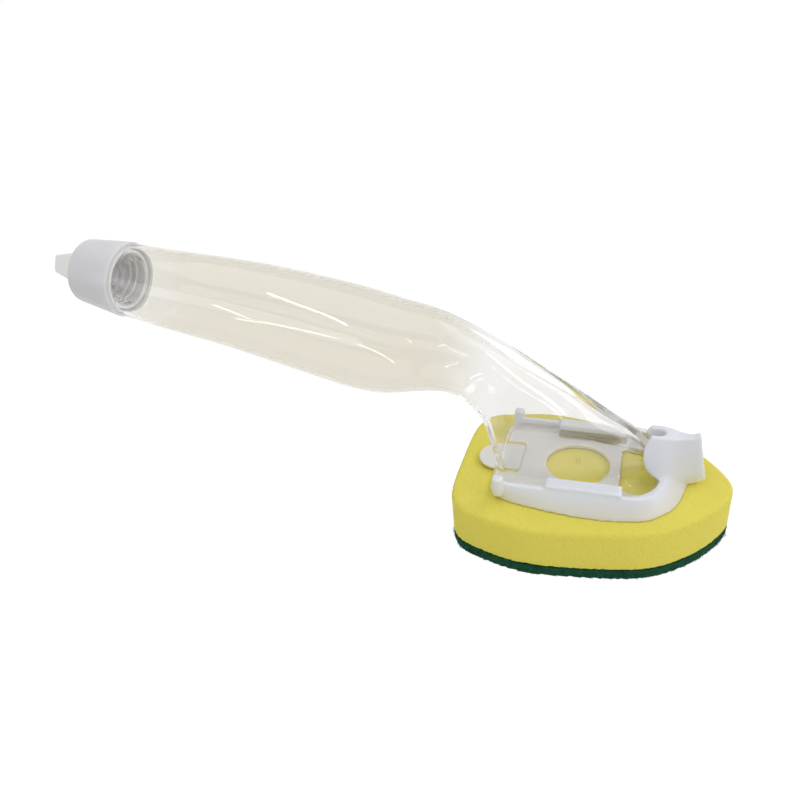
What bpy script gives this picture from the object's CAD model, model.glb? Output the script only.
"""Finished surfaces of a soap-dispensing dish wand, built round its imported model."""
import math

import bmesh
import bpy
import numpy as np
from bpy.props import FloatProperty, FloatVectorProperty, IntProperty, PointerProperty
from mathutils import Matrix, Vector


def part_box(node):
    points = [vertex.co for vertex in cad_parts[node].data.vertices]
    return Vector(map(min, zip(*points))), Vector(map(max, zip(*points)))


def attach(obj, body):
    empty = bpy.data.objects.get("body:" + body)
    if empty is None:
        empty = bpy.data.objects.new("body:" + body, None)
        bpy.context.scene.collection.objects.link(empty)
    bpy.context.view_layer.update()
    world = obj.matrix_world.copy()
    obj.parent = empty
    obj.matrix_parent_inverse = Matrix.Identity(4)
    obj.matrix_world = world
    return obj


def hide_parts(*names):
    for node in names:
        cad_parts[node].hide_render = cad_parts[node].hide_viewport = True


bl_info = {
    "name": "Dish Wand",
    "version": (1, 0, 0),
    "blender": (4, 5, 0),
    "location": "3D View > Sidebar > Dish Wand",
    "description": "Builds the finished surfaces of a soap-dispensing dish wand",
    "category": "Add Mesh",
}

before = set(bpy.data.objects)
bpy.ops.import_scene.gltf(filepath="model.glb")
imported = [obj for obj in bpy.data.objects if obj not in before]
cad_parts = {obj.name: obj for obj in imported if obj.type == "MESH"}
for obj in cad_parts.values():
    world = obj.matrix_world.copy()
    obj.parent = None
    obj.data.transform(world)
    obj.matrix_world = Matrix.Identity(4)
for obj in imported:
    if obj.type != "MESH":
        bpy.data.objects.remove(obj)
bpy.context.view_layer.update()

MM = 0.001
CM = 0.01

# Levels and places that the frame gives
FOAM_LOW, FOAM_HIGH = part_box("foam_sponge")
PAD_LOW, PAD_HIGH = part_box("scouring_pad")
SOLE_LOW, SOLE_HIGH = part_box("sole_plate")
REFILL_LOW, REFILL_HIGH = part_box("refill_carrier")
SOLE_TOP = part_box("handle_shell")[0].z
PLATE_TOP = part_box("latch_tongue")[1].z

# Main sizes of the clear moulding, soap hole at x = 0
GRIP_REACH = 173.3 * MM
GRIP_RISE = 62.4 * MM
GRIP_RADIUS = 18.45 * MM
GRIP_TILT = math.radians(10)
FOOT_LENGTH = 55.4 * MM
FOOT_REAR = 27.6 * MM
FOOT_HALF_WIDTH = 15.7 * MM
FOOT_HEIGHT = 49.6 * MM

# Grip sections from the shoulder forward: reach, height, radius and lean as shares of those sizes
GRIP_SHARES = [
    (1.0, 1.0, 0.772, 1.0), (0.905, 0.950, 0.826, 1.0), (0.776, 0.893, 0.886, 1.05),
    (0.646, 0.823, 0.948, 1.15), (0.531, 0.748, 0.989, 1.2), (0.450, 0.694, 1.0, 1.15),
    (0.375, 0.655, 0.940, 1.05), (0.306, 0.644, 0.815, 1.25),
]
# Foot sections: heel and crest as shares of length and height, half width, place of the widest
# line, and the roundness of the nose and the heel as powers of a superellipse
FOOT_SHARES = [
    (-0.305, 0.509, -0.170, 1.0, 0.822, 0.50, 2.0, 2.0),
    (-0.179, 0.435, 0.065, 0.856, 0.790, 0.47, 1.95, 2.3),
    (-0.100, 0.321, 0.309, 0.686, 0.815, 0.42, 1.85, 2.8),
    (-0.055, 0.175, 0.570, 0.499, 0.892, 0.38, 1.75, 3.6),
    (-0.020, 0.066, 0.795, 0.331, 0.968, 0.35, 1.65, 4.2),
    (-0.006, 0.030, 0.928, 0.227, 0.990, 0.34, 1.6, 4.6),
    (0.0, 0.012, 0.992, 0.110, 1.0, 0.33, 1.6, 5.0),
    (0.0, 0.0, 1.0, 0.0, 1.0, 0.33, 1.6, 5.2),
]
SECTION_POINTS = 16

# Points round a turned or lofted ring, and the rings of each stretch of the clear skin
COLUMNS = 128
LOFT_ROWS = 150
BORE_ROWS = 24
THREAD_ROWS = 72

# The shoulder that the cap closes on: its middle, the way out through the cap, and up across it
SHOULDER = Vector((-GRIP_REACH, 0, SOLE_TOP + GRIP_RISE))
OUT = Vector((-math.cos(GRIP_TILT), 0, math.sin(GRIP_TILT)))
ACROSS = Vector((math.sin(GRIP_TILT), 0, math.cos(GRIP_TILT)))
SIDEWAYS = np.array((0, 1, 0))


def linear(code):
    """Linear colour of an sRGB hex code."""
    parts = [int(code[i:i + 2], 16) / 255 for i in (0, 2, 4)]
    return tuple(c / 12.92 if c <= 0.04045 else ((c + 0.055) / 1.055) ** 2.4 for c in parts)


def length(label, words, value):
    """A size that a user may change, in metres."""
    return FloatProperty(
        name=label, description=words, default=value, min=0, unit="LENGTH", precision=5)


def colour(label, words, code):
    """A colour that a user may change."""
    return FloatVectorProperty(
        name=label, description=words, default=linear(code), size=3, min=0, max=1, subtype="COLOR")


class HandleSizes(bpy.types.PropertyGroup):
    """Clear moulding, its screw neck and its sole plate."""
    wall: length("Wall", "Wall of the grip and the foot", 1.8 * MM)
    ridge_wall: length("Ridge wall", "Thick wall along the front ridge of the foot", 4.2 * MM)
    edge: length("Edge radius", "Rounding of the shoulder and the plate's edges", 0.5 * MM)
    neck_radius: length("Neck radius", "Over the crest of the neck's thread", 10.2 * MM)
    neck_bore: length("Neck bore", "Radius of the filling hole", 8.2 * MM)
    neck_length: length("Neck length", "Shoulder to mouth", 13.5 * MM)
    weld: length("Weld", "How deep the foot is welded into its sole plate", 0.4 * MM)
    flange_half: length("Flange half width", "Half the sole plate's width", 19.5 * MM)
    front_corner: length("Front corner", "Corner radius at the front of the sole plate", 12 * MM)
    rear_corner: length("Rear corner", "Corner radius at the rear of the sole plate", 8 * MM)
    plate: length("Sole plate", "Thickness of the sole plate", 2.5 * MM)
    outlet: length("Outlet", "Radius of the soap outlet", 0.8 * MM)


class ThreadSizes(bpy.types.PropertyGroup):
    """Screw thread of the neck and the cap."""
    pitch: length("Pitch", "Lift of the cap in one turn", 3.0 * MM)
    depth: length("Depth", "Height of the ridge", 0.55 * MM)
    width: length("Width", "Half width of the ridge at its foot", 0.75 * MM)
    start: length("Start", "First ridge from the shoulder", 2.4 * MM)
    turns: FloatProperty(name="Turns", description="Turns of the ridge", default=2.5, min=1)


class CapSizes(bpy.types.PropertyGroup):
    """Screw cap."""
    rim: length("Rim radius", "Outer radius at the open end", 14.7 * MM)
    rear: length("Rear radius", "Outer radius at the closed end", 12.6 * MM)
    gap: length("Gap", "Rim to shoulder", 0.3 * MM)
    length: length("Length", "Rim to closed end", 19.4 * MM)
    round_end: length("End rounding", "Radius between the side and the closed end", 1.8 * MM)
    bore: length("Bore", "Radius of the threaded bore", 10.5 * MM)
    collar: length("Collar", "Wall of the threaded collar", 1.2 * MM)
    skirt: length("Skirt", "Wall of the outer skirt", 1.4 * MM)
    groove: length("Groove", "Depth of the groove between them", 7.0 * MM)
    roof: length("Roof", "Shoulder to the inside of the closed end", 14.7 * MM)
    tab_root: length("Tab root", "Height of the finger tab at the cap", 15.7 * MM)
    tab_tip: length("Tab tip", "Height of the finger tab at its end", 6.5 * MM)
    tab_reach: length("Tab reach", "Length of the finger tab", 15.0 * MM)
    tab_thick: length("Tab thickness", "Thickness of the finger tab", 2.4 * MM)
    tab_turn: FloatProperty(
        name="Tab turn", description="Where the screwed-down tab stops, off upright",
        default=math.radians(20), subtype="ANGLE")


class CarrierSizes(bpy.types.PropertyGroup):
    """Refill carrier and its latch tongue."""
    step: length("Step", "Spacing of the carrier's surface points", 0.4 * MM)
    tongue_step: length("Tongue step", "Spacing of the tongue's surface points", 0.22 * MM)
    root: length("Root", "How far the tongue's root runs into the plate", 1 * MM)
    drop: length("Drop", "How far the tongue lies below the plate's top", 0.01 * MM)
    slit: length("Slit", "Width of the slits beside the tongue", 1.6 * MM)
    rise: length("Rise", "Height over which the foam below tints the white", 7 * MM)


class SoftSizes(bpy.types.PropertyGroup):
    """Foam and scouring pad."""
    foam_step: length("Foam step", "Spacing of the foam's surface points", 0.5 * MM)
    pore: length("Pore", "Typical size of the foam's cells", 0.9 * MM)
    pore_depth: length("Pore depth", "Depth of an open cell at the surface", 0.16 * MM)
    swell: length("Swell", "Slow unevenness of the cut foam", 0.35 * MM)
    slit_gap: length("Slit gap", "Room round the foam that swells into a slit", 0.1 * MM)
    slit_drop: length("Slit drop", "How far that foam stays below the plate's top", 0.1 * MM)
    pad_step: length("Pad step", "Spacing of the pad's surface points", 0.55 * MM)
    pad_rough: length("Pad roughness", "Unevenness of the fibre web", 0.35 * MM)
    fibre_length: length("Fibre length", "Length of a loose fibre at the surface", 2.2 * MM)
    fibre_radius: length("Fibre radius", "Radius of a resin-coated fibre", 0.055 * MM)
    fibres_per_area: FloatProperty(
        name="Fibres", description="Fibres on a square centimetre", default=75, min=0)
    seed: IntProperty(name="Seed", description="Choice of the random fibres", default=7)


class Colours(bpy.types.PropertyGroup):
    """Base colours."""
    clear: colour("Clear", "Neck and foot of the handle", "EDEBE9")
    cream: colour("Cream", "Grip of the handle", "D9D4C6")
    cap: colour("Cap", "Screw cap", "E4E4E7")
    cap_inside: colour("Cap inside", "Screw cap's bore", "FEFEFF")
    carrier: colour("Carrier", "Refill carrier", "EEF1F8")
    carrier_low: colour("Carrier low", "Refill carrier beside the foam", "ECEADF")
    seal: colour("Seal", "Sealing ring", "E6E5E2")
    foam: colour("Foam", "Sponge", "F0E464")
    foam_deep: colour("Foam cells", "Depths of the sponge's cells", "C9B43C")
    pad: colour("Pad", "Scouring fibres", "0D4730")
    pad_light: colour("Pad light", "Worn and lit fibres", "2C6049")
    glue: colour("Glue", "Hot-melt film", "E9DFB4")


class DishWand(bpy.types.PropertyGroup):
    """All settings of the wand."""
    handle: PointerProperty(type=HandleSizes)
    thread: PointerProperty(type=ThreadSizes)
    cap: PointerProperty(type=CapSizes)
    carrier: PointerProperty(type=CarrierSizes)
    soft: PointerProperty(type=SoftSizes)
    colours: PointerProperty(type=Colours)


# Curves and meshes


def cubic(knots, rows, places):
    """Natural cubic spline through rows of numbers at knots, read at the given places."""
    knots, rows, places = (np.asarray(a, float) for a in (knots, rows, places))
    flat = rows.reshape(len(rows), -1)
    gaps = np.diff(knots)
    slopes = np.diff(flat, axis=0) / gaps[:, None]
    system, right = np.eye(len(rows)), np.zeros_like(flat)
    for i in range(1, len(rows) - 1):
        system[i, i - 1:i + 2] = gaps[i - 1], 2 * (gaps[i - 1] + gaps[i]), gaps[i]
        right[i] = 6 * (slopes[i] - slopes[i - 1])
    bends = np.linalg.solve(system, right)
    span = np.clip(np.searchsorted(knots, places, side="right") - 1, 0, len(gaps) - 1)
    gap, t = gaps[span][:, None], (places - knots[span])[:, None]
    value = flat[span] + t * (slopes[span] - gap * (2 * bends[span] + bends[span + 1]) / 6)
    value += t ** 2 * bends[span] / 2 + t ** 3 * (bends[span + 1] - bends[span]) / (6 * gap)
    return value.reshape((len(places),) + rows.shape[1:])


def closed_ring(points, count):
    """Smooth closed ring through a few points, at count even steps."""
    points = np.asarray(points, float)
    # Points repeated past both ends, so that the ring has no seam
    spare = 5
    looped = np.concatenate([points[-spare:], points, points[:spare]])
    knots = np.arange(-spare, len(points) + spare)
    return cubic(knots, looped, np.arange(count) * len(points) / count)


def section(heel, crest, half, widest=0.5, nose_power=2.0, heel_power=2.0):
    """Points of a superellipse section in the plane through heel and crest, both (x, z)."""
    heel, crest = np.asarray(heel), np.asarray(crest)
    size = np.linalg.norm(crest - heel)
    along = (crest - heel) / size
    angle = 2 * np.pi * np.arange(SECTION_POINTS) / SECTION_POINTS
    c, s = np.cos(angle), np.sin(angle)
    power = np.where(c > 0, nose_power, heel_power)
    reach = np.where(c > 0, 1 - widest, widest) * size * np.abs(c) ** (2 / power)
    u = widest * size + np.copysign(reach, c)
    v = np.copysign(half * np.abs(s) ** (2 / power), s)
    return np.stack([heel[0] + along[0] * u, v, heel[1] + along[1] * u], axis=1)


def handle_sections(wall=0.0, ridge=0.0):
    """Sections of the grip and the foot, drawn in by a wall, and by another along the ridge."""
    found = []
    for reach, rise, radius, lean in GRIP_SHARES:
        r = radius * GRIP_RADIUS - wall
        lean *= GRIP_TILT
        dx, dz = r * math.sin(lean), r * math.cos(lean)
        x, z = -reach * GRIP_REACH, SOLE_TOP + rise * GRIP_RISE
        found.append(section((x - dx, z - dz), (x + dx, z + dz), r))
    for hx, hz, cx, cz, half, widest, nose, heel in FOOT_SHARES:
        low = np.array([-FOOT_REAR + hx * FOOT_LENGTH, SOLE_TOP + hz * FOOT_HEIGHT])
        top = np.array([-FOOT_REAR + cx * FOOT_LENGTH, SOLE_TOP + cz * FOOT_HEIGHT])
        along = (top - low) / np.linalg.norm(top - low)
        half = half * FOOT_HALF_WIDTH - wall
        found.append(section(low + along * wall, top - along * ridge, half, widest, nose, heel))
    return np.array(found)


def loft(sections, first=0.0):
    """Smooth surface through sections, as rows of rings; first skips a length at the start."""
    middles = sections.mean(axis=1)
    steps = np.linalg.norm(np.diff(middles, axis=0), axis=1)
    knots = np.concatenate([[0.0], np.cumsum(steps)])
    through = cubic(knots, sections, np.linspace(first, knots[-1], LOFT_ROWS))
    return np.array([closed_ring(row, COLUMNS) for row in through])


def turned_ring(radius, distance):
    """Ring about the neck's axis, a distance out from the shoulder; its radius may vary."""
    angle = 2 * np.pi * np.arange(COLUMNS) / COLUMNS
    radius = np.broadcast_to(radius, COLUMNS)[:, None]
    spoke = np.cos(angle)[:, None] * np.array(ACROSS) + np.sin(angle)[:, None] * SIDEWAYS
    return np.array(SHOULDER + OUT * distance) + radius * spoke


def thread_height(sizes, distance, shift=0.0):
    """Height of a right-hand thread's ridge at each angle of a ring."""
    turn = np.arange(COLUMNS) / COLUMNS
    place = (distance - sizes.start - shift) / sizes.pitch - turn
    nearest = np.clip(np.round(place), 0, math.ceil(sizes.turns))
    gap = np.abs(place - nearest) * sizes.pitch / sizes.width
    # The ridge fades out over an eighth of a turn at both ends, and its flanks are rounded
    fade = np.clip(np.minimum(nearest + turn, sizes.turns - nearest - turn) * 8, 0, 1)
    flank = np.clip((1 - gap) * 1.8, 0, 1)
    return sizes.depth * fade * flank * flank * (3 - 2 * flank)


def in_scene(name, data):
    """A new object in the scene, at the origin."""
    made = bpy.data.objects.new(name, data)
    bpy.context.scene.collection.objects.link(made)
    return made


def new_mesh(name, points, faces):
    """A mesh object at the origin."""
    mesh = bpy.data.meshes.new(name)
    mesh.from_pydata([tuple(p) for p in points], [], faces)
    return in_scene(name, mesh)


def ring_mesh(name, rings, endless=False):
    """Skin over rings of equal count; endless joins the last to the first, else ends are capped."""
    rows, columns = rings.shape[:2]
    points = rings.reshape(-1, 3)
    faces = []
    for r in range(rows if endless else rows - 1):
        low, high = r * columns, (r + 1) % rows * columns
        for c in range(columns):
            n = (c + 1) % columns
            faces.append((low + c, low + n, high + n, high + c))
    if not endless:
        faces.append(tuple(reversed(range(columns))))
        faces.append(tuple(range((rows - 1) * columns, rows * columns)))
    made = new_mesh(name, points, faces)
    face_outwards(made)
    return made


def face_outwards(piece):
    """Turns a closed mesh's faces out where they point in."""
    work = bmesh.new()
    work.from_mesh(piece.data)
    if work.calc_volume(signed=True) < 0:
        bmesh.ops.reverse_faces(work, faces=work.faces)
    work.to_mesh(piece.data)
    work.free()


def bake(piece):
    """Makes what the modifiers give the piece's own plain mesh."""
    bpy.context.view_layer.update()
    evaluated = piece.evaluated_get(bpy.context.evaluated_depsgraph_get())
    mesh = bpy.data.meshes.new_from_object(evaluated)
    piece.modifiers.clear()
    old, piece.data = piece.data, mesh
    mesh.name = piece.name
    bpy.data.meshes.remove(old)
    return piece


def combine(piece, tool, operation):
    """Joins the tool to the piece, or cuts it out, and removes the tool."""
    change = piece.modifiers.new("combine", "BOOLEAN")
    change.operation, change.solver, change.object = operation, "EXACT", tool
    bake(piece)
    bpy.data.objects.remove(tool)
    return piece


def smooth_shading(piece, angle):
    """Smooth faces with sharp edges beyond an angle in degrees."""
    piece.data.shade_smooth()
    piece.data.set_sharp_from_angle(angle=math.radians(angle))


def copy_node(name, node):
    """The node's mesh as an object of its own, with doubled points merged."""
    made = in_scene(name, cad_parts[node].data.copy())
    work = bmesh.new()
    work.from_mesh(made.data)
    bmesh.ops.remove_doubles(work, verts=work.verts, dist=0.001 * MM)
    work.to_mesh(made.data)
    work.free()
    return made


def moulded(piece, voxel, rounds=4):
    """Evens the mesh out and softens its edges, as a moulding's are."""
    remesh = piece.modifiers.new("even", "REMESH")
    remesh.mode, remesh.voxel_size = "VOXEL", voxel
    soften = piece.modifiers.new("soften", "SMOOTH")
    soften.factor, soften.iterations = 0.5, rounds
    bake(piece)
    piece.data.shade_smooth()
    return piece


def coat(piece, *materials):
    """Gives the piece its materials."""
    piece.data.materials.clear()
    for material in materials:
        piece.data.materials.append(material)
    return piece


def finish_piece(piece, body, slot, *nodes):
    """Gives the piece its body and slot, and the nodes that it stands for."""
    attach(piece, body)
    if nodes:
        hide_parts(*nodes)
    return piece


# Materials


def add(tree, kind, inputs=None, **settings):
    """Adds a node with its settings; an input that is a socket is linked, and any other is set."""
    made = tree.nodes.new(kind)
    for name, value in settings.items():
        setattr(made, name, value)
    for name, value in (inputs or {}).items():
        if isinstance(value, bpy.types.NodeSocket):
            tree.links.new(value, made.inputs[name])
        else:
            made.inputs[name].default_value = value
    return made


def new_material(name, **constants):
    """A material, its tree, its shader with constants set on it, and object coordinates."""
    material = bpy.data.materials.new(name)
    material.use_nodes = True
    tree = material.node_tree
    shader = tree.nodes["Principled BSDF"]
    for socket, value in constants.items():
        shader.inputs[socket.replace("_", " ")].default_value = value
    return material, tree, shader, add(tree, "ShaderNodeTexCoord").outputs["Object"]


def opaque(rgb):
    """A colour with full alpha."""
    return (*rgb, 1.0)


def darker(rgb, share):
    """A share of a colour, with full alpha."""
    return opaque([part * share for part in rgb])


# Where along x the grip's tint ends, in millimetres: towards the foot, and towards the shoulder
UNTINTED = ((-50, -30), (-157, -170))


def clear_styrene(name, grip, foot, index, gloss):
    """Styrene-acrylonitrile, injection moulded: glossy and clear, with a tint in the grip.

    Its mirror gloss is the coat's, at the plastic's own index. The body bends the view much less
    than solid plastic does, as the thin even wall of the real one."""
    material, tree, shader, place = new_material(
        name, Roughness=0.02, IOR=index, Transmission_Weight=1.0,
        Coat_Weight=gloss, Coat_Roughness=0.03, Coat_IOR=1.57)
    reach = add(tree, "ShaderNodeSeparateXYZ", {"Vector": place}).outputs["X"]
    ends = [add(tree, "ShaderNodeMapRange", {
        "Value": reach, "From Min": begin * MM, "From Max": finish * MM},
        interpolation_type="SMOOTHSTEP").outputs["Result"] for begin, finish in UNTINTED]
    share = add(tree, "ShaderNodeMath", {0: ends[0], 1: ends[1]}, operation="MAXIMUM").outputs[0]
    tint = add(tree, "ShaderNodeMix", {
        0: share, 6: opaque(grip), 7: opaque(foot)}, data_type="RGBA")
    tree.links.new(tint.outputs[2], shader.inputs["Base Color"])
    # Flow lines of the melt run along the grip, about 8 mm apart and seven times as long
    stretch = add(tree, "ShaderNodeMapping", {"Vector": place, "Scale": (18, 120, 120)})
    flow = add(tree, "ShaderNodeTexNoise", {
        "Vector": stretch.outputs["Vector"], "Scale": 1.0, "Detail": 2.0})
    bump = add(tree, "ShaderNodeBump", {
        "Height": flow.outputs["Fac"], "Strength": 0.15, "Distance": 0.5 * MM})
    tree.links.new(bump.outputs["Normal"], shader.inputs["Normal"])
    # The thin wall lets the lamps and the light between pale surfaces reach what it holds
    path = add(tree, "ShaderNodeLightPath").outputs
    unbent = add(tree, "ShaderNodeBsdfTransparent").outputs["BSDF"]
    shown = shader.outputs["BSDF"]
    for ray in ("Is Shadow Ray", "Is Diffuse Ray"):
        shown = add(tree, "ShaderNodeMixShader", {
            0: path[ray], 1: shown, 2: unbent}).outputs["Shader"]
    tree.links.new(shown, tree.nodes["Material Output"].inputs["Surface"])
    return material


def white_polypropylene(name, tones, span, origin, axis, around):
    """Polypropylene, injection moulded: soft white, a little light passes under its satin skin.

    What lies behind tints it, so its first tone turns into its second over a span of distances.
    These run from the axis through the origin where around is set, else along the axis."""
    material, tree, shader, place = new_material(
        name, Roughness=0.34, IOR=1.49, Subsurface_Weight=1.0, Subsurface_Scale=1.5 * MM,
        Subsurface_Radius=(1.0, 1.0, 1.0))
    offset = add(tree, "ShaderNodeVectorMath", {
        0: place, 1: origin}, operation="SUBTRACT").outputs["Vector"]
    if around:
        spoke = add(tree, "ShaderNodeVectorMath", {0: offset, 1: axis}, operation="CROSS_PRODUCT")
        distance = add(
            tree, "ShaderNodeVectorMath", {0: spoke.outputs["Vector"]}, operation="LENGTH")
    else:
        distance = add(tree, "ShaderNodeVectorMath", {0: offset, 1: axis}, operation="DOT_PRODUCT")
    share = add(tree, "ShaderNodeMapRange", {
        "Value": distance.outputs["Value"], "From Min": span[0], "From Max": span[1]},
        interpolation_type="SMOOTHSTEP").outputs["Result"]
    body = add(tree, "ShaderNodeMix", {
        0: share, 6: opaque(tones[0]), 7: opaque(tones[1])}, data_type="RGBA").outputs[2]
    # Cloudy patches of the melt, about 11 mm
    cloud = add(tree, "ShaderNodeTexNoise", {"Vector": place, "Scale": 90.0, "Detail": 3.0})
    tone = add(tree, "ShaderNodeMix", {
        0: cloud.outputs["Fac"], 6: body, 7: opaque((0.95, 0.95, 0.95))},
        data_type="RGBA", blend_type="MULTIPLY")
    tree.links.new(tone.outputs[2], shader.inputs["Base Color"])
    # Fine spark-eroded grain of the mould, about 0.3 mm
    grain = add(tree, "ShaderNodeTexNoise", {"Vector": place, "Scale": 3000.0, "Detail": 2.0})
    bump = add(tree, "ShaderNodeBump", {
        "Height": grain.outputs["Fac"], "Strength": 0.08, "Distance": 0.05 * MM})
    tree.links.new(bump.outputs["Normal"], shader.inputs["Normal"])
    return material


def soft_silicone(colours):
    """Silicone rubber, moulded: matt and slightly translucent."""
    material, tree, shader, place = new_material("silicone_seal", Roughness=0.6, IOR=1.41)
    # Faint patches of about 2.5 mm
    cloud = add(tree, "ShaderNodeTexNoise", {"Vector": place, "Scale": 400.0})
    tone = add(tree, "ShaderNodeMix", {
        0: cloud.outputs["Fac"], 6: opaque(colours.seal), 7: darker(colours.seal, 0.9)},
        data_type="RGBA")
    tree.links.new(tone.outputs[2], shader.inputs["Base Color"])
    return material


def hot_melt(colours):
    """Hot-melt adhesive, pressed thin: yellowish, with the foam's cells showing in it."""
    material, tree, shader, place = new_material("hot_melt_film", Roughness=0.35, IOR=1.48)
    # The foam's cells, about 1.1 mm
    cells = add(tree, "ShaderNodeTexVoronoi", {"Vector": place, "Scale": 900.0})
    tone = add(tree, "ShaderNodeMix", {
        0: cells.outputs["Distance"], 6: opaque(colours.glue), 7: darker(colours.glue, 0.8)},
        data_type="RGBA")
    tree.links.new(tone.outputs[2], shader.inputs["Base Color"])
    return material


def polyurethane_foam(colours, pore):
    """Polyurethane foam, knife cut: dull open cells with lit rims and darker depths."""
    material, tree, shader, place = new_material(
        "polyurethane_foam_cut", Roughness=0.95, IOR=1.45, Subsurface_Weight=0.2,
        Subsurface_Scale=2.0 * MM, Subsurface_Radius=(1.0, 0.8, 0.25))
    # Large cells, and small ones less than half their size between them
    cells = add(tree, "ShaderNodeTexVoronoi", {"Vector": place, "Scale": 1 / pore})
    fine = add(tree, "ShaderNodeTexVoronoi", {"Vector": place, "Scale": 2.3 / pore})
    both = add(tree, "ShaderNodeMath", {
        0: cells.outputs["Distance"], 1: fine.outputs["Distance"]}, operation="MULTIPLY")
    depth = add(tree, "ShaderNodeMapRange", {
        "Value": both.outputs["Value"], "From Min": 0.0, "From Max": 0.12,
        "To Min": 0.45, "To Max": 0.0})
    tone = add(tree, "ShaderNodeMix", {
        0: depth.outputs["Result"], 6: opaque(colours.foam), 7: opaque(colours.foam_deep)},
        data_type="RGBA")
    tree.links.new(tone.outputs[2], shader.inputs["Base Color"])
    bump = add(tree, "ShaderNodeBump", {
        "Height": both.outputs["Value"], "Strength": 0.5, "Distance": 0.25 * MM})
    tree.links.new(bump.outputs["Normal"], shader.inputs["Normal"])
    return material


def scouring_fibre(colours):
    """Nylon web bonded with gritty resin: dark, rough, with paler worn fibres."""
    material, tree, shader, place = new_material(
        "nylon_scouring_web", Roughness=0.8, IOR=1.53, Specular_IOR_Level=0.15)
    # Knots of the web, about 1.1 mm
    web = add(tree, "ShaderNodeTexNoise", {
        "Vector": place, "Scale": 900.0, "Detail": 4.0, "Roughness": 0.7})
    share = add(tree, "ShaderNodeMapRange", {
        "Value": web.outputs["Fac"], "From Min": 0.45, "From Max": 0.75})
    tone = add(tree, "ShaderNodeMix", {
        0: share.outputs["Result"], 6: opaque(colours.pad), 7: opaque(colours.pad_light)},
        data_type="RGBA")
    tree.links.new(tone.outputs[2], shader.inputs["Base Color"])
    bump = add(tree, "ShaderNodeBump", {
        "Height": web.outputs["Fac"], "Strength": 0.8, "Distance": 0.3 * MM})
    tree.links.new(bump.outputs["Normal"], shader.inputs["Normal"])
    return material


# Pieces


def welded(rings, depth):
    """The rings with one more that sinks the last a little into the sole plate."""
    return np.concatenate([rings, rings[-1:] - (0, 0, depth)])


def make_handle(wand, outside, inside, underside):
    """Clear shell with its threaded neck, as one skin that runs outside, inside and back."""
    sizes = wand.handle
    outer = welded(loft(handle_sections(), first=sizes.edge), sizes.weld)
    inner = welded(
        loft(handle_sections(sizes.wall, sizes.ridge_wall), first=sizes.wall), sizes.weld)
    # The bore out to the mouth, its rounded lip, and the thread back to the shoulder
    root = sizes.neck_radius - wand.thread.depth
    middle = (sizes.neck_bore + root) / 2
    mouth = sizes.neck_length - sizes.edge
    rings = [turned_ring(sizes.neck_bore, d) for d in np.linspace(-sizes.wall, mouth, BORE_ROWS)]
    rings += [turned_ring(middle - (root - middle) * math.cos(t), mouth + sizes.edge * math.sin(t))
              for t in np.linspace(0, np.pi, 9)]
    rings += [turned_ring(root + thread_height(wand.thread, d), d)
              for d in np.linspace(mouth, 0, THREAD_ROWS)[1:]]
    inside_rows = range(len(outer), len(outer) + len(inner) + len(rings))
    # The rounded shoulder, which meets the outer skin
    shoulder_radius = GRIP_SHARES[0][2] * GRIP_RADIUS
    rings += [turned_ring(shoulder_radius - sizes.edge * (1 - math.sin(t)),
                          -sizes.edge * (1 - math.cos(t)))
              for t in np.linspace(0, np.pi / 2, 6)[:-1]]
    rings = np.concatenate([outer, inner[::-1], np.array(rings)])
    piece = coat(ring_mesh("clear_handle", rings, endless=True), outside, inside, underside)
    for row in inside_rows:
        for face in piece.data.polygons[row * COLUMNS:(row + 1) * COLUMNS]:
            face.material_index = 1
    combine(piece, make_sole(wand), "UNION")
    # The faces that look down at the sole plate's level rest on the carrier
    for face in piece.data.polygons:
        if face.normal.z < -0.9 and face.center.z < SOLE_LOW.z + sizes.edge:
            face.material_index = 2
    smooth_shading(piece, 50)
    return piece


def plate_outline(sizes):
    """Sole plate seen from above: a rectangle with round corners of 24 points each."""
    rear, front = SOLE_LOW.x + sizes.rear_corner, SOLE_HIGH.x - sizes.front_corner
    points = []
    for x, radius, side, begin in (
            (rear, sizes.rear_corner, 1, 90), (rear, sizes.rear_corner, -1, 180),
            (front, sizes.front_corner, -1, 270), (front, sizes.front_corner, 1, 0)):
        points += arc(x, side * (sizes.flange_half - radius), radius, begin, begin + 90, 24)
    return np.array(points)


def edge_rounded(outline, low, high, edge):
    """Rings of a flat plate with rounded edges, from its outline seen from above."""
    middle = outline.mean(axis=0)
    reach = np.linalg.norm(outline - middle, axis=1).mean()
    quarter = np.linspace(0, np.pi / 2, 4)
    rings = []
    for level, side, turns in ((low + edge, -1, quarter[::-1]), (high - edge, 1, quarter)):
        for turn in turns:
            flat = middle + (outline - middle) * (1 - edge * (1 - math.cos(turn)) / reach)
            z = level + side * edge * math.sin(turn)
            rings.append(np.column_stack([flat, np.full(len(flat), z)]))
    return np.array(rings)


def oblong(left, right, near, far):
    """Corners of a rectangle seen from above."""
    return np.array([(left, near), (right, near), (right, far), (left, far)])


def upright(name, outline, low, high):
    """Upright prism of an outline."""
    return ring_mesh(name, np.array([
        np.column_stack([outline, np.full(len(outline), z)]) for z in (low, high)]))


def make_sole(wand):
    """Clear plate under the foot, with its soap outlet."""
    sizes = wand.handle
    low, high = SOLE_LOW.z, SOLE_LOW.z + sizes.plate
    piece = ring_mesh("clear_sole", edge_rounded(plate_outline(sizes), low, high, sizes.edge / 2))
    angle = 2 * np.pi * np.arange(32) / 32
    circle = sizes.outlet * np.column_stack([np.cos(angle), np.sin(angle)])
    outlet = upright("outlet", circle, low - sizes.plate, high + sizes.plate)
    return combine(piece, outlet, "DIFFERENCE")


def arc(x, y, radius, begin, end, steps=6):
    """Points of an arc about (x, y), between two angles in degrees."""
    return [(x + radius * math.cos(a), y + radius * math.sin(a))
            for a in np.radians(np.linspace(begin, end, steps))]


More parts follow.
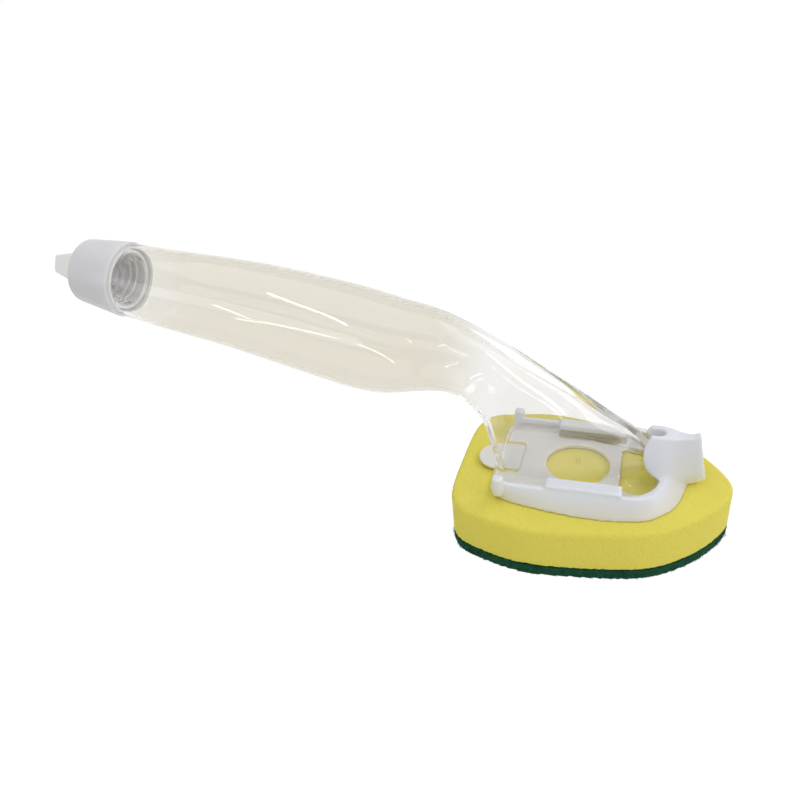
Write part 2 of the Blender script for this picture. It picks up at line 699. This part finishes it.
def make_cap(wand):
    """Turned cap with a groove inside its rim, a threaded bore and a finger tab.

    Its profile's points are (radius, distance out from the shoulder)."""
    cap = wand.cap
    end, soft = cap.gap + cap.length, wand.handle.edge
    collar, skirt = cap.bore + cap.collar, cap.rim - cap.skirt
    bottom = cap.gap + cap.groove
    profile = [(soft, end)]
    profile += arc(cap.rear - cap.round_end, end - cap.round_end, cap.round_end, 90, 0, 10)
    profile += arc(cap.rim - soft, cap.gap + soft, soft, 0, -90)
    profile += arc(skirt + soft, cap.gap + soft, soft, -90, -180)
    profile += arc((skirt + collar) / 2, bottom, (skirt - collar) / 2, 0, 180, 10)
    profile += arc(collar - soft / 2, cap.gap + soft / 2, soft / 2, 0, -90, 4)
    profile += arc(cap.bore + soft / 2, cap.gap + soft / 2, soft / 2, -90, -180, 4)
    rings = [turned_ring(r, d) for r, d in profile]
    # Its thread's ridges lie midway between the neck's
    for d in np.linspace(cap.gap + soft, cap.roof, 66)[1:]:
        ridge = thread_height(wand.thread, d, wand.thread.pitch / 2)
        rings.append(turned_ring(cap.bore - ridge, d))
    rings.append(turned_ring(soft, cap.roof))
    piece = ring_mesh("screw_cap", np.array(rings))
    combine(piece, make_tab(cap, end, soft), "UNION")
    smooth_shading(piece, 35)
    return piece


def make_tab(cap, end, soft):
    """Tapered finger tab on the cap's closed end, with rounded edges."""
    angle = 2 * np.pi * np.arange(48) / 48
    c, s = np.cos(angle), np.sin(angle)
    # A circle that a low power pushes out towards a square
    square = np.column_stack([np.copysign(np.abs(c) ** 0.25, c), np.copysign(np.abs(s) ** 0.25, s)])
    tall_way = np.array(ACROSS) * math.cos(cap.tab_turn) + SIDEWAYS * math.sin(cap.tab_turn)
    thick_way = SIDEWAYS * math.cos(cap.tab_turn) - np.array(ACROSS) * math.sin(cap.tab_turn)
    tip = 2 * soft
    rings = []
    for reach, shrink in [(-soft, 0)] + [
            (cap.tab_reach - tip * (1 - math.sin(t)), tip * (1 - math.cos(t)))
            for t in np.linspace(0, np.pi / 2, 6)]:
        share = max(reach, 0) / cap.tab_reach
        tall = (cap.tab_root * (1 - share) + cap.tab_tip * share) / 2 - shrink
        thick = cap.tab_thick / 2 - shrink * 0.5
        middle = np.array(SHOULDER + OUT * (end + reach))
        rings.append(
            middle + square[:, :1] * tall * tall_way + square[:, 1:] * thick * thick_way)
    return ring_mesh("tab", np.array(rings))


def make_carrier(wand):
    """Refill carrier with the soft edges of a moulding."""
    return moulded(copy_node("carrier", "refill_carrier"), wand.carrier.step)


def make_tongue(wand):
    """Latch tongue of the carrier; its root runs a little way into the plate."""
    sizes = wand.carrier
    piece = copy_node("tongue", "latch_tongue")
    low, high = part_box("latch_tongue")
    outline = oblong(high.x - sizes.root, high.x + sizes.root, low.y, high.y)
    root = upright("root", outline, FOAM_HIGH.z + sizes.root / 2, PLATE_TOP)
    combine(piece, root, "UNION")
    moulded(piece, sizes.tongue_step, 3)
    piece.data.transform(Matrix.Translation((0, 0, -sizes.drop)))
    return piece


def tree_input(tree, name, kind):
    """Named input of a tree of geometry nodes, as its identifier."""
    return tree.interface.new_socket(name, in_out="INPUT", socket_type=kind).identifier


def begin_tree(name, *sizes):
    """Tree of geometry nodes with its named sizes, whose identifiers come with it."""
    tree = bpy.data.node_groups.new(name, "GeometryNodeTree")
    tree_input(tree, "Geometry", "NodeSocketGeometry")
    tree.interface.new_socket("Geometry", in_out="OUTPUT", socket_type="NodeSocketGeometry")
    return tree, {size: tree_input(tree, size, "NodeSocketFloat") for size in sizes}


def end_tree(tree, mesh, material):
    """Ends a tree of geometry nodes with a plain mesh in its material."""
    real = add(tree, "GeometryNodeRealizeInstances", {"Geometry": mesh}).outputs["Geometry"]
    coated = add(tree, "GeometryNodeSetMaterial", {"Geometry": real, "Material": material})
    add(tree, "NodeGroupOutput", {"Geometry": coated.outputs["Geometry"]})


def move_along_normal(tree, mesh, distance):
    """Adds what moves each point of a mesh out along its normal."""
    normal = add(tree, "GeometryNodeInputNormal").outputs["Normal"]
    shift = add(tree, "ShaderNodeVectorMath", {
        0: normal, "Scale": distance}, operation="SCALE").outputs["Vector"]
    return add(tree, "GeometryNodeSetPosition", {
        "Geometry": mesh, "Offset": shift}).outputs["Geometry"]


def run_tree(piece, tree, values):
    """Runs a tree of geometry nodes on the piece and keeps the plain mesh."""
    change = piece.modifiers.new(tree.name, "NODES")
    change.node_group = tree
    for identifier, value in values.items():
        change[identifier] = value
    return bake(piece)


def foam_tree(material):
    """Opens the cells of the foam's surface and lets it swell a little between them."""
    tree, names = begin_tree("foam_cells", "Pore", "Depth", "Swell")
    source = add(tree, "NodeGroupInput").outputs
    place = add(tree, "GeometryNodeInputPosition").outputs["Position"]
    # Each cell is a pit whose rim rises smoothly to the surface
    scale = add(tree, "ShaderNodeMath", {0: 1.0, 1: source["Pore"]}, operation="DIVIDE").outputs[0]
    cells = add(tree, "ShaderNodeTexVoronoi", {"Vector": place, "Scale": scale}).outputs["Distance"]
    open_cell = add(tree, "ShaderNodeMapRange", {
        "Value": cells, "From Min": 0.15, "From Max": 0.6, "To Min": -1.0, "To Max": 0.0},
        interpolation_type="SMOOTHSTEP").outputs["Result"]
    pits = add(tree, "ShaderNodeMath", {
        0: open_cell, 1: source["Depth"]}, operation="MULTIPLY").outputs[0]
    # Slow waves of about 18 mm, most of them inwards
    slow = add(tree, "ShaderNodeTexNoise", {
        "Vector": place, "Scale": 55.0, "Detail": 1.0}).outputs[0]
    centred = add(tree, "ShaderNodeMath", {0: slow, 1: 0.62}, operation="SUBTRACT").outputs[0]
    rise = add(tree, "ShaderNodeMath", {
        0: centred, 1: source["Swell"]}, operation="MULTIPLY").outputs[0]
    total = add(tree, "ShaderNodeMath", {0: pits, 1: rise}, operation="ADD").outputs[0]
    moved = move_along_normal(tree, source["Geometry"], total)
    smooth = add(tree, "GeometryNodeSetShadeSmooth", {"Geometry": moved}).outputs["Geometry"]
    end_tree(tree, smooth, material)
    return tree, names


def slit_swell(wand, side):
    """Ridge of foam that swells up into a slit beside the latch tongue."""
    slit, gap = wand.carrier.slit, wand.soft.slit_gap
    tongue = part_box("latch_tongue")[1]
    middle, half = side * (tongue.y + slit / 2), slit / 2 - gap
    outline = oblong(REFILL_LOW.x, tongue.x - gap, middle - half, middle + half)
    return upright("swell", outline, FOAM_HIGH.z - slit, PLATE_TOP - wand.soft.slit_drop)


def make_foam(wand, material):
    """Sponge with open cells over its whole surface."""
    piece = copy_node("foam", "foam_sponge")
    for side in (-1, 1):
        combine(piece, slit_swell(wand, side), "UNION")
    moulded(piece, wand.soft.foam_step, 2)
    tree, names = foam_tree(material)
    return run_tree(piece, tree, {
        names["Pore"]: wand.soft.pore, names["Depth"]: wand.soft.pore_depth,
        names["Swell"]: wand.soft.swell})


def pad_tree(material):
    """Roughens the pad's web and sets bent fibres over it."""
    tree, names = begin_tree("scouring_fibres", "Rough", "Length", "Radius", "Density")
    names["Seed"] = tree_input(tree, "Seed", "NodeSocketInt")
    source = add(tree, "NodeGroupInput").outputs
    place = add(tree, "GeometryNodeInputPosition").outputs["Position"]
    # Knots of the web, about 1.4 mm, mostly inwards
    web = add(tree, "ShaderNodeTexNoise", {
        "Vector": place, "Scale": 700.0, "Detail": 2.0}).outputs[0]
    centred = add(tree, "ShaderNodeMath", {0: web, 1: 0.75}, operation="SUBTRACT").outputs[0]
    rise = add(tree, "ShaderNodeMath", {
        0: centred, 1: source["Rough"]}, operation="MULTIPLY").outputs[0]
    moved = move_along_normal(tree, source["Geometry"], rise)
    smooth = add(tree, "GeometryNodeSetShadeSmooth", {"Geometry": moved}).outputs["Geometry"]
    spread = add(tree, "GeometryNodeDistributePointsOnFaces", {
        "Mesh": moved, "Density": source["Density"], "Seed": source["Seed"]})
    # A fibre bows up from the web by a share of its length, and reaches half of it to each side
    back, half, lift = (add(tree, "ShaderNodeMath", {
        0: source["Length"], 1: share}, operation="MULTIPLY").outputs[0]
        for share in (-0.5, 0.5, 0.22))
    begin = add(tree, "ShaderNodeCombineXYZ", {"X": back}).outputs["Vector"]
    top = add(tree, "ShaderNodeCombineXYZ", {"Y": lift, "Z": lift}).outputs["Vector"]
    finish = add(tree, "ShaderNodeCombineXYZ", {"X": half}).outputs["Vector"]
    bend = add(tree, "GeometryNodeCurveQuadraticBezier", {
        "Resolution": 4, "Start": begin, "Middle": top, "End": finish}).outputs["Curve"]
    round_profile = add(tree, "GeometryNodeCurvePrimitiveCircle", {
        "Resolution": 3, "Radius": source["Radius"]}).outputs["Curve"]
    fibre = add(tree, "GeometryNodeCurveToMesh", {
        "Curve": bend, "Profile Curve": round_profile, "Fill Caps": True}).outputs["Mesh"]
    # Tilted by half a radian at most, turned any way round, and half to 1.2 times as large
    spin = add(tree, "FunctionNodeRandomValue", {
        "Min": (-0.5, -0.5, 0.0), "Max": (0.5, 0.5, 2 * math.pi), "Seed": source["Seed"]},
        data_type="FLOAT_VECTOR").outputs["Value"]
    turned = add(tree, "FunctionNodeRotateRotation", {
        "Rotation": spread.outputs["Rotation"], "Rotate By": spin},
        rotation_space="LOCAL").outputs["Rotation"]
    scale = add(tree, "FunctionNodeRandomValue", {
        "Min": 0.5, "Max": 1.2, "Seed": source["Seed"]}, data_type="FLOAT").outputs[1]
    placed = add(tree, "GeometryNodeInstanceOnPoints", {
        "Points": spread.outputs["Points"], "Instance": fibre, "Rotation": turned, "Scale": scale})
    joined = add(tree, "GeometryNodeJoinGeometry", {"Geometry": smooth})
    tree.links.new(placed.outputs["Instances"], joined.inputs["Geometry"])
    end_tree(tree, joined.outputs["Geometry"], material)
    return tree, names


def make_pad(wand, material):
    """Scouring pad: a rough web with loose fibres."""
    soft = wand.soft
    piece = copy_node("scourer", "scouring_pad")
    moulded(piece, soft.pad_step, 1)
    tree, names = pad_tree(material)
    return run_tree(piece, tree, {
        names["Rough"]: soft.pad_rough, names["Length"]: soft.fibre_length,
        names["Radius"]: soft.fibre_radius, names["Density"]: soft.fibres_per_area / CM ** 2,
        names["Seed"]: soft.seed})


# Stage

FLOOR_HALF = 3.0
FLOOR_DROP = 0.02 * MM
FLOOR_GLOW = 0.88
WORLD_LIGHT = 0.32

# Aims of the lamps
CAP, GRIP, HEAD = (-0.18, 0, 0.09), (-0.1, 0, 0.08), (0, 0, 0.05)
# Place, aim, direction of the first side, both sides, radiance (1 is white) and tint
LAMPS = {
    "overhead": ((-0.15, 0.1, 0.9), GRIP, (1, 0, 0), (0.9, 0.9), 0.8, "F4F8FF"),
    "front_window": ((-0.5, -0.9, 0.45), GRIP, (1, 0, 0), (0.8, 0.4), 1.2, "ECF4FF"),
    "ridge_window": ((0.57, 0.65, 0.73), HEAD, (0.55, -0.8, 0.3), (0.95, 0.24), 3.5, "F4F4FF"),
    "strut_window": ((0.83, -0.28, 0.69), HEAD, (0.07, -0.96, -0.59), (0.9, 0.12), 2.5, "F4F4FF"),
    "cap_fill": ((0.95, -0.2, 0.2), CAP, (0, 1, 0), (0.5, 0.25), 3, "F0F0FF"),
    "ceiling_strip": ((-0.21, -0.3, 0.68), GRIP, (0.21, -0.32, -0.17), (0.34, 0.018), 18, "FFFFFF"),
    "front_strip": ((-0.2, -0.9, 0.46), GRIP, (0.47, -0.1, -0.16), (0.4, 0.01), 3, "FFFFFF"),
    "front_glint": ((-0.62, -0.85, 0.31), GRIP, (0.06, -0.06, -0.17), (0.2, 0.015), 12, "FFFFFF"),
    "head_strip": ((0.65, -0.42, 0.77), HEAD, (0.06, -0.82, -0.57), (0.85, 0.03), 14, "FFFFFF"),
}


def seen_directly(tree):
    """One for what the camera sees, also in a gloss or through a clear part; nought for light."""
    path = add(tree, "ShaderNodeLightPath").outputs
    gloss = add(tree, "ShaderNodeMath", {
        0: path["Is Camera Ray"], 1: path["Is Glossy Ray"]}, operation="MAXIMUM").outputs[0]
    return add(tree, "ShaderNodeMath", {
        0: gloss, 1: path["Is Transmission Ray"]}, operation="MAXIMUM").outputs[0]


def make_floor():
    """Pale floor that looks white and keeps a faint shadow: paint, with some of it a glow."""
    corners = oblong(-FLOOR_HALF, FLOOR_HALF, -FLOOR_HALF, FLOOR_HALF)
    floor = new_mesh("floor", [(x, y, -FLOOR_DROP) for x, y in corners], [(0, 1, 2, 3)])
    material = bpy.data.materials.new("studio_floor")
    material.use_nodes = True
    tree = material.node_tree
    tree.nodes.clear()
    seen = seen_directly(tree)
    share = add(tree, "ShaderNodeMath", {0: seen, 1: FLOOR_GLOW}, operation="MULTIPLY").outputs[0]
    paint = add(tree, "ShaderNodeBsdfDiffuse", {"Color": opaque(linear("F4F2EE"))}).outputs["BSDF"]
    glow = add(tree, "ShaderNodeEmission", {"Strength": 1.1}).outputs["Emission"]
    mixed = add(tree, "ShaderNodeMixShader", {0: share, 1: paint, 2: glow}).outputs["Shader"]
    add(tree, "ShaderNodeOutputMaterial", {"Surface": mixed})
    floor.data.materials.append(material)


def make_world():
    """White surroundings, dimmer as a light than as a view."""
    world = bpy.data.worlds.new("studio")
    bpy.context.scene.world = world
    world.use_nodes = True
    tree = world.node_tree
    tree.nodes.clear()
    seen = seen_directly(tree)
    strength = add(tree, "ShaderNodeMapRange", {
        "Value": seen, "To Min": WORLD_LIGHT, "To Max": 1.0})
    tone = add(tree, "ShaderNodeMix", {
        0: seen, 6: opaque(linear("FFFBF2")), 7: opaque(linear("FFFFFF"))}, data_type="RGBA")
    view = add(tree, "ShaderNodeBackground", {
        "Color": tone.outputs[2], "Strength": strength.outputs["Result"]}).outputs["Background"]
    add(tree, "ShaderNodeOutputWorld", {"Surface": view})


def facing(place, back, side):
    """Place and turn of what looks from a place away from its back, with a side near the given."""
    back = back.normalized()
    up = back.cross(side).normalized()
    turn = Matrix((up.cross(back), up, back)).transposed()
    return Matrix.Translation(place) @ turn.to_4x4()


def make_lamp(name, place, aim, along, size, radiance, tint):
    """Rectangular lamp that points at its aim, with its first side along a direction."""
    light = bpy.data.lights.new(name, "AREA")
    light.shape = "RECTANGLE"
    light.size, light.size_y = size
    light.energy = radiance * math.pi * size[0] * size[1]
    light.color = linear(tint)
    back = Vector(place) - Vector(aim)
    in_scene(name, light).matrix_world = facing(place, back, Vector(along))


def make_camera():
    """Camera of the photograph: near side, above and a little to the right, a 31.5 mm lens."""
    data = bpy.data.cameras.new("camera")
    data.sensor_width, data.lens = 36.0, 31.47
    data.clip_start, data.clip_end = 0.01, 20.0
    camera = in_scene("camera", data)
    place = (0.01811, -0.20695, 0.18244)
    back, right = Vector((0.3195, -0.7850, 0.5308)), Vector((0.9434, 0.3160, -0.1006))
    camera.matrix_world = facing(place, back, right)
    bpy.context.scene.camera = camera


# Operators


class WandOperator:
    """What the wand's operators share."""
    bl_options = {"REGISTER", "UNDO"}

    @property
    def wand(self):
        return bpy.context.scene.dish_wand


class WAND_OT_handle(WandOperator, bpy.types.Operator):
    """Build the clear handle and its sole plate"""
    bl_idname = "wand.handle"
    bl_label = "Handle"

    def execute(self, context):
        colours = self.wand.colours
        white = linear("FFFFFF")
        # The inner wall shows less gloss than the outer, and the face at rest on the carrier none
        outside = clear_styrene("clear_styrene_moulded", colours.cream, colours.clear, 1.08, 1.0)
        inside = clear_styrene("clear_styrene_inside", white, white, 1.08, 0.25)
        underside = clear_styrene("clear_styrene_resting", white, white, 1.0, 0.0)
        piece = make_handle(self.wand, outside, inside, underside)
        finish_piece(piece, "handle", "clear_handle", "handle_shell", "sole_plate")
        return {"FINISHED"}


class WAND_OT_cap(WandOperator, bpy.types.Operator):
    """Build the screw cap and finish its seal"""
    bl_idname = "wand.cap"
    bl_label = "Cap"

    def execute(self, context):
        colours = self.wand.colours
        sizes = self.wand.cap
        white = white_polypropylene(
            "polypropylene_cap", (colours.cap_inside, colours.cap),
            (sizes.bore + sizes.collar, sizes.rear), SHOULDER, OUT, around=True)
        finish_piece(coat(make_cap(self.wand), white), "cap", "white_cap", "end_cap")
        coat(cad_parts["cap_seal"], soft_silicone(colours))
        return {"FINISHED"}


class WAND_OT_carrier(WandOperator, bpy.types.Operator):
    """Build the refill carrier and its latch tongue"""
    bl_idname = "wand.carrier"
    bl_label = "Carrier"

    def execute(self, context):
        colours = self.wand.colours
        up = Vector((0, 0, 1))
        white = white_polypropylene(
            "polypropylene_carrier", (colours.carrier_low, colours.carrier),
            (0.0, self.wand.carrier.rise), up * FOAM_HIGH.z, up, around=False)
        carrier = coat(make_carrier(self.wand), white)
        finish_piece(carrier, "refill", "white_carrier", "refill_carrier")
        tongue = coat(make_tongue(self.wand), white)
        finish_piece(tongue, "latch", "white_carrier", "latch_tongue")
        glue = hot_melt(colours)
        for node in ("carrier_film", "pad_film"):
            coat(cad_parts[node], glue)
        return {"FINISHED"}


class WAND_OT_sponge(WandOperator, bpy.types.Operator):
    """Build the foam and the scouring pad"""
    bl_idname = "wand.sponge"
    bl_label = "Sponge"

    def execute(self, context):
        wand = self.wand
        foam_material = polyurethane_foam(wand.colours, wand.soft.pore)
        foam = make_foam(wand, foam_material)
        finish_piece(coat(foam, foam_material), "refill", "foam", "foam_sponge")
        fibre = scouring_fibre(wand.colours)
        pad = make_pad(wand, fibre)
        finish_piece(coat(pad, fibre), "refill", "scourer", "scouring_pad")
        return {"FINISHED"}


class WAND_OT_stage(WandOperator, bpy.types.Operator):
    """Set the floor, the surroundings, the lamps and the camera"""
    bl_idname = "wand.stage"
    bl_label = "Stage"

    def execute(self, context):
        make_floor()
        make_world()
        for name, settings in LAMPS.items():
            make_lamp(name, *settings)
        make_camera()
        context.scene.view_settings.view_transform = "Standard"
        return {"FINISHED"}


OPERATORS = (WAND_OT_handle, WAND_OT_cap, WAND_OT_carrier, WAND_OT_sponge, WAND_OT_stage)
GROUPS = (HandleSizes, ThreadSizes, CapSizes, CarrierSizes, SoftSizes, Colours, DishWand)


class WAND_PT_panel(bpy.types.Panel):
    """Sidebar panel that lists the wand's operators and settings"""
    bl_idname = "WAND_PT_panel"
    bl_label = "Dish Wand"
    bl_space_type = "VIEW_3D"
    bl_region_type = "UI"
    bl_category = "Dish Wand"

    def draw(self, context):
        wand = context.scene.dish_wand
        for operator in OPERATORS:
            self.layout.operator(operator.bl_idname)
        for group in (wand.handle, wand.thread, wand.cap, wand.carrier, wand.soft, wand.colours):
            box = self.layout.box()
            for name in group.bl_rna.properties.keys():
                if name not in ("rna_type", "name"):
                    box.prop(group, name)


def register():
    """Makes the settings, operators and panel known to Blender."""
    for kind in (*GROUPS, *OPERATORS, WAND_PT_panel):
        bpy.utils.register_class(kind)
    bpy.types.Scene.dish_wand = PointerProperty(type=DishWand)


def unregister():
    """Takes them away again."""
    del bpy.types.Scene.dish_wand
    for kind in reversed((*GROUPS, *OPERATORS, WAND_PT_panel)):
        bpy.utils.unregister_class(kind)


def main():
    """Builds the whole wand and its stage."""
    register()
    bpy.ops.wand.handle()
    bpy.ops.wand.cap()
    bpy.ops.wand.carrier()
    bpy.ops.wand.sponge()
    bpy.ops.wand.stage()


if __name__ == "__main__":
    main()
